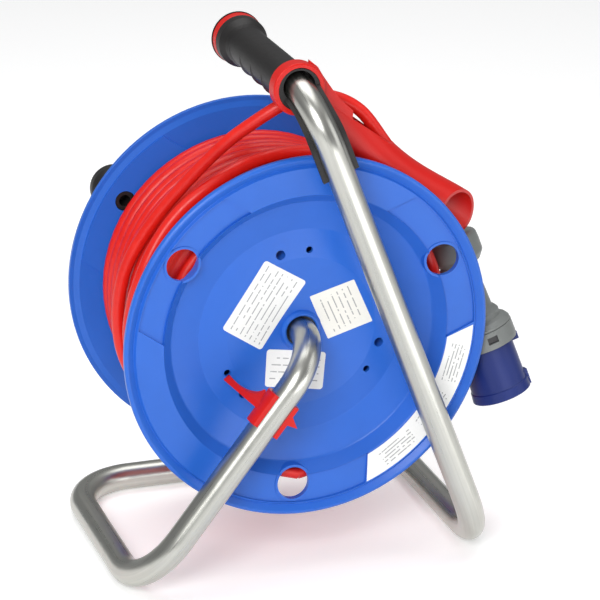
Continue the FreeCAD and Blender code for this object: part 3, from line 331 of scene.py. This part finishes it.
# ------------------------------------------------------------------ cords
def nurbs(name, pts, radius, mat, res=4, bres=5):
    cu = bpy.data.curves.new(name, "CURVE")
    cu.dimensions = "3D"
    sp = cu.splines.new("NURBS")
    sp.points.add(len(pts) - 1)
    for q, p in zip(sp.points, pts):
        q.co = (p[0], p[1], p[2], 1.0)
    sp.order_u = 3
    sp.use_endpoint_u = True
    sp.resolution_u = res
    cu.resolution_u = res
    cu.bevel_depth = radius
    cu.bevel_resolution = bres
    cu.use_fill_caps = True
    cu.materials.append(mat)
    return obj(name, cu)


def spline_length(o):
    cu = o.data.copy()
    cu.bevel_depth = 0.0
    tmp = bpy.data.objects.new("measure", cu)
    bpy.context.scene.collection.objects.link(tmp)
    bpy.context.view_layer.update()
    me = bpy.data.meshes.new_from_object(tmp.evaluated_get(bpy.context.evaluated_depsgraph_get()))
    ln = sum((me.vertices[e.vertices[0]].co - me.vertices[e.vertices[1]].co).length for e in me.edges)
    bpy.data.meshes.remove(me)
    bpy.data.objects.remove(tmp)
    return ln


CORD = 0.010
# the winding: four layers on the barrel, wound clockwise as the near side sees it
PER = 16
GROW = 1.0 / math.cos(math.pi / PER) ** 0.98
layers = ((87.6, 28.0, 140.6, 12), (96.9, 143.6, 24.6, 11), (106.0, 21.8, 146.0, 11), (114.6, 154.6, 15.0, 13))
wind = []
phi = 246.0
for k, (r, y0, y1, n) in enumerate(layers):
    steps = n * PER
    for i in range(steps):
        t = i / steps
        turn = t * n
        rr = r
        if k + 1 < len(layers) and t > 1 - 0.35 / n:
            s = (t - 1 + 0.35 / n) / (0.35 / n)
            rr = r + (layers[k + 1][0] - r) * s * s * (3 - 2 * s)
        # each turn keeps to its own place for most of its round and steps over in the last part
        base = math.floor(turn)
        fr = turn - base
        step = max(0.0, (fr - 0.55) / 0.45)
        step = step * step * (3 - 2 * step)
        y = y0 + (y1 - y0) * (base + 0.35 * fr + 0.65 * step) / n
        if k == 3:
            a = math.radians(phi)
            w = noise.noise(Vector((math.cos(a) * 1.3, math.sin(a) * 1.3, base * 0.61)))
            w2 = noise.noise(Vector((math.cos(a) * 1.1 + 7.0, math.sin(a) * 1.1, base * 0.83 + 3.0)))
            y += 3.6 * w
            rr += 0.8 * w2
        wind.append(P(rr * GROW, phi, y))
        phi -= 360.0 / PER
# the loose outer turn, slack of the lead, which lies over the pack and stays with the lead when the drum turns
loose = [(242, 116.2, 16.0), (226, 118.0, 30.0), (211, 120.6, 48.0), (198, 124.0, 60.0), (186, 126.0, 61.0), (172, 126.4, 54.5), (159, 126.4, 49.8), (146, 126.4, 53.0),
         (133, 126.4, 56.0), (120, 126.4, 56.3), (107, 126.4, 63.0), (93, 126.4, 71.0), (78, 126.4, 80.0), (62, 126.4, 86.0), (46, 126.4, 88.0), (30, 126.4, 88.0),
         (14, 126.4, 86.5), (-2, 126.4, 84.0), (-18, 126.4, 81.0), (-34, 126.6, 79.0), (-50, 126.8, 78.5), (-66, 127.2, 79.5), (-82, 127.6, 81.5), (-98, 128.0, 84.0),
         (-114, 128.6, 86.5), (-125, 128.9, 87.7), (-131.5, 129.0, 88.0)]
off = phi - 246.0
winding = nurbs("wound_cord", wind, CORD / 2, M["cord_red"], 4, 5)
WIND_LEN = spline_length(winding)
print("winding length", round(WIND_LEN, 2), "points", len(wind), "phi at the layer's end", round(phi % 360, 1))
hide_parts("cable_coil")
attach(winding, "drum")
turn = [wind[-1]] + [P(r, a + off, y) for a, r, y in loose]
outer = nurbs("outer_turn", turn, CORD / 2, M["cord_red"], 10, 7)
TURN_LEN = spline_length(outer)
print("outer turn length", round(TURN_LEN, 3))
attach(outer, "frame")


def dpol(r, phi, y):
    a = math.radians(phi)
    return (r * math.cos(a), y, r * math.sin(a))


PL_A = Vector((127.65, 48.0, 55.70))
pd = Vector((0.304, -0.195, -0.932)).normalized()
pn = Vector((0.94, 0, 0.34))
lead_end = PL_A + pn * 4.0
route = [dpol(129, 227.5, 88.0), dpol(129, 202.5, 88.0), dpol(129, 177.5, 87.5), dpol(129, 152.5, 86.0), (-57.5, 57.5, 138.0), (-20.5, 42.0, 168.6)]
for k in range(6):
    a0, a1 = 30 - 14.5 * k, 30 - 14.5 * (k + 1)
    a = math.radians((a0 + a1) / 2)
    rr = 52.0 / math.cos(math.radians(7.25))
    route.append((15 - rr * math.sin(a), 39.5 - 1.7 * k, 128.5 + rr * math.cos(a)))
route += [(71.6, 27.5, 136.6), (103.0, 25.5, 96.0), (118.6, 33.0, 77.2), tuple(lead_end - pd * 3.0), tuple(lead_end + pd * 13.7)]
lead = nurbs("free_lead", [D(*p) for p in route], CORD / 2, M["cord_red"], 12, 7)
LEAD_LEN = spline_length(lead)
print("lead length", round(LEAD_LEN, 4))
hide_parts("lead_cord")
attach(lead, "frame")


# ------------------------------------------------------------------ the bent tube with its own lengthwise coordinates
def filleted(pts):
    out = []
    n = len(pts)
    for i, (p, r) in enumerate(pts):
        p = Vector(p)
        if i in (0, n - 1) or r <= 0:
            out.append([p])
            continue
        u = (Vector(pts[i - 1][0]) - p).normalized()
        v = (Vector(pts[i + 1][0]) - p).normalized()
        ang = u.angle(v)
        t = r / math.tan(ang / 2)
        m = (u + v).normalized()
        c = p + m * (r / math.sin(ang / 2))
        a, b = p + u * t, p + v * t
        da, db = a - c, b - c
        tot = da.angle(db)
        k = max(8, int(tot * r / 2.2))
        axis = da.cross(db).normalized()
        arc = [c + Matrix.Rotation(tot * j / k, 3, axis) @ da for j in range(k + 1)]
        out.append(arc)
    line = [out[0][0]]
    for seg in out[1:]:
        a, b = line[-1], seg[0]
        k = max(1, int((b - a).length / 12.0))
        for j in range(1, k + 1):
            line.append(a.lerp(b, j / k))
        line += seg[1:]
    return line


def tube(name, path, radius, mat, seg=40, wall=1.5):
    """Round tube along a path in drum-centred mm, with UV = (turn, metres along)."""
    bm = bmesh.new()
    uv = bm.loops.layers.uv.new("UVMap")
    pts = [D(*p) for p in path]
    R = radius / 1000.0
    tang = []
    for i in range(len(pts)):
        a = pts[max(0, i - 1)]
        b = pts[min(len(pts) - 1, i + 1)]
        tang.append((b - a).normalized())
    ref = Vector((0, 0, 1))
    if abs(ref.dot(tang[0])) > 0.9:
        ref = Vector((1, 0, 0))
    x = (ref - tang[0] * ref.dot(tang[0])).normalized()
    rings, dist, s = [], [], 0.0
    for i, p in enumerate(pts):
        if i:
            s += (p - pts[i - 1]).length
            q = tang[i - 1].rotation_difference(tang[i])
            x = (q @ x)
            x = (x - tang[i] * x.dot(tang[i])).normalized()
        y = tang[i].cross(x)
        rings.append([bm.verts.new(p + (x * math.cos(2 * math.pi * k / seg) + y * math.sin(2 * math.pi * k / seg)) * R) for k in range(seg)])
        dist.append(s)
    for i in range(len(rings) - 1):
        for k in range(seg):
            f = bm.faces.new((rings[i][k], rings[i][(k + 1) % seg], rings[i + 1][(k + 1) % seg], rings[i + 1][k]))
            f.smooth = True
            for l, (u, v) in zip(f.loops, ((k, i), (k + 1, i), (k + 1, i + 1), (k, i + 1))):
                l[uv].uv = (u / seg, dist[v])
    # open ends with the wall turned in
    for ring, i, sg in ((rings[0], 0, 1), (rings[-1], len(pts) - 1, -1)):
        inner = [bm.verts.new(pts[i] + (v.co - pts[i]) * (1 - wall / radius)) for v in ring]
        deep = [bm.verts.new(v.co + tang[i] * sg * 0.012) for v in inner]
        for k in range(seg):
            j = (k + 1) % seg
            for a, b in ((ring, inner), (inner, deep)):
                q = (a[k], b[k], b[j], a[j]) if sg > 0 else (a[k], a[j], b[j], b[k])
                bm.faces.new(q).smooth = False
    bmesh.ops.recalc_face_normals(bm, faces=bm.faces)
    me = bpy.data.meshes.new(name)
    bm.to_mesh(me)
    bm.free()
    me.materials.append(mat)
    return obj(name, me)


TOP_X, TOP_Z, LEG_Y, FLOOR_Z, FOOT_X, FOOT_Y = -9.4, 199.6, -24.0, -183.0, 140.5, 191.5
frame_path = filleted([((0, 128.0, 0), 0), ((0, LEG_Y, 0), 38.0), ((-FOOT_X, LEG_Y, FLOOR_Z), 52.0), ((-FOOT_X, FOOT_Y, FLOOR_Z), 50.0), ((FOOT_X, FOOT_Y, FLOOR_Z), 50.0),
                       ((FOOT_X, LEG_Y, FLOOR_Z), 52.0), ((TOP_X, LEG_Y, TOP_Z), 46.0), ((TOP_X, 140.0, TOP_Z), 0)])
steel = tube("steel_tube", frame_path, 10.75, M["zinc_steel"])
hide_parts("frame_tube")
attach(steel, "frame")


# ------------------------------------------------------------------ stage and light
me = bpy.data.meshes.new("floor")
me.from_pydata([(-12, -12, 0), (12, -12, 0), (12, 12, 0), (-12, 12, 0)], [], [(0, 1, 2, 3)])
floor = obj("floor", me)
fm = Mat("floor_white", 0.75, 0.0, 0.2)
fm.color(fm.ramp(fm.noise(1.5, 2.0), [(0.3, (0.90, 0.90, 0.90)), (0.7, (0.92, 0.92, 0.92))]))
fm.b.inputs["Emission Color"].default_value = (1.0, 1.0, 1.0, 1.0)
fm.b.inputs["Emission Strength"].default_value = 0.28
me.materials.append(fm.m)

w = bpy.data.worlds.new("studio")
bpy.context.scene.world = w
w.use_nodes = True
nt = w.node_tree
bg = nt.nodes["Background"]
tc = nt.nodes.new("ShaderNodeTexCoord")
sx = nt.nodes.new("ShaderNodeSeparateXYZ")
rp = nt.nodes.new("ShaderNodeValToRGB")
nt.links.new(tc.outputs["Generated"], sx.inputs[0])
nt.links.new(sx.outputs["Z"], rp.inputs["Fac"])
rp.color_ramp.elements[0].position, rp.color_ramp.elements[0].color = 0.0, (0.46, 0.48, 0.50, 1)
rp.color_ramp.elements[1].position, rp.color_ramp.elements[1].color = 0.9, (1.0, 1.0, 1.0, 1)
nt.links.new(rp.outputs["Color"], bg.inputs["Color"])
bg.inputs["Strength"].default_value = 0.42


def area(name, loc, target, size, power, color=(1, 1, 1)):
    l = bpy.data.lights.new(name, "AREA")
    l.shape = "RECTANGLE"
    l.size, l.size_y = size
    l.energy = power
    l.color = color
    o = obj(name, l)
    o.location = loc
    o.rotation_mode = "QUATERNION"
    o.rotation_quaternion = (Vector(target) - Vector(loc)).to_track_quat("-Z", "Y")
    return o


area("key_left", (-1.2, -2.0, 1.5), (0, 0, 0.2), (1.1, 1.1), 49)
area("top", (0.1, 0.2, 2.2), (0, 0, 0.2), (1.8, 1.8), 26)
area("fill_right", (2.0, -1.2, 1.0), (0, 0, 0.2), (1.2, 1.6), 9)
# a low card in front that only shows as gloss on the flat faces
card = area("gloss_card", (0.34, -0.66, 0.03), (0.02, -0.09, 0.18), (0.5, 0.4), 1.9)
card.visible_camera = False
card.visible_diffuse = False

sc = bpy.context.scene
sc.view_settings.view_transform = "Standard"
sc.view_settings.look = "None"
sc.view_settings.exposure = 0.0
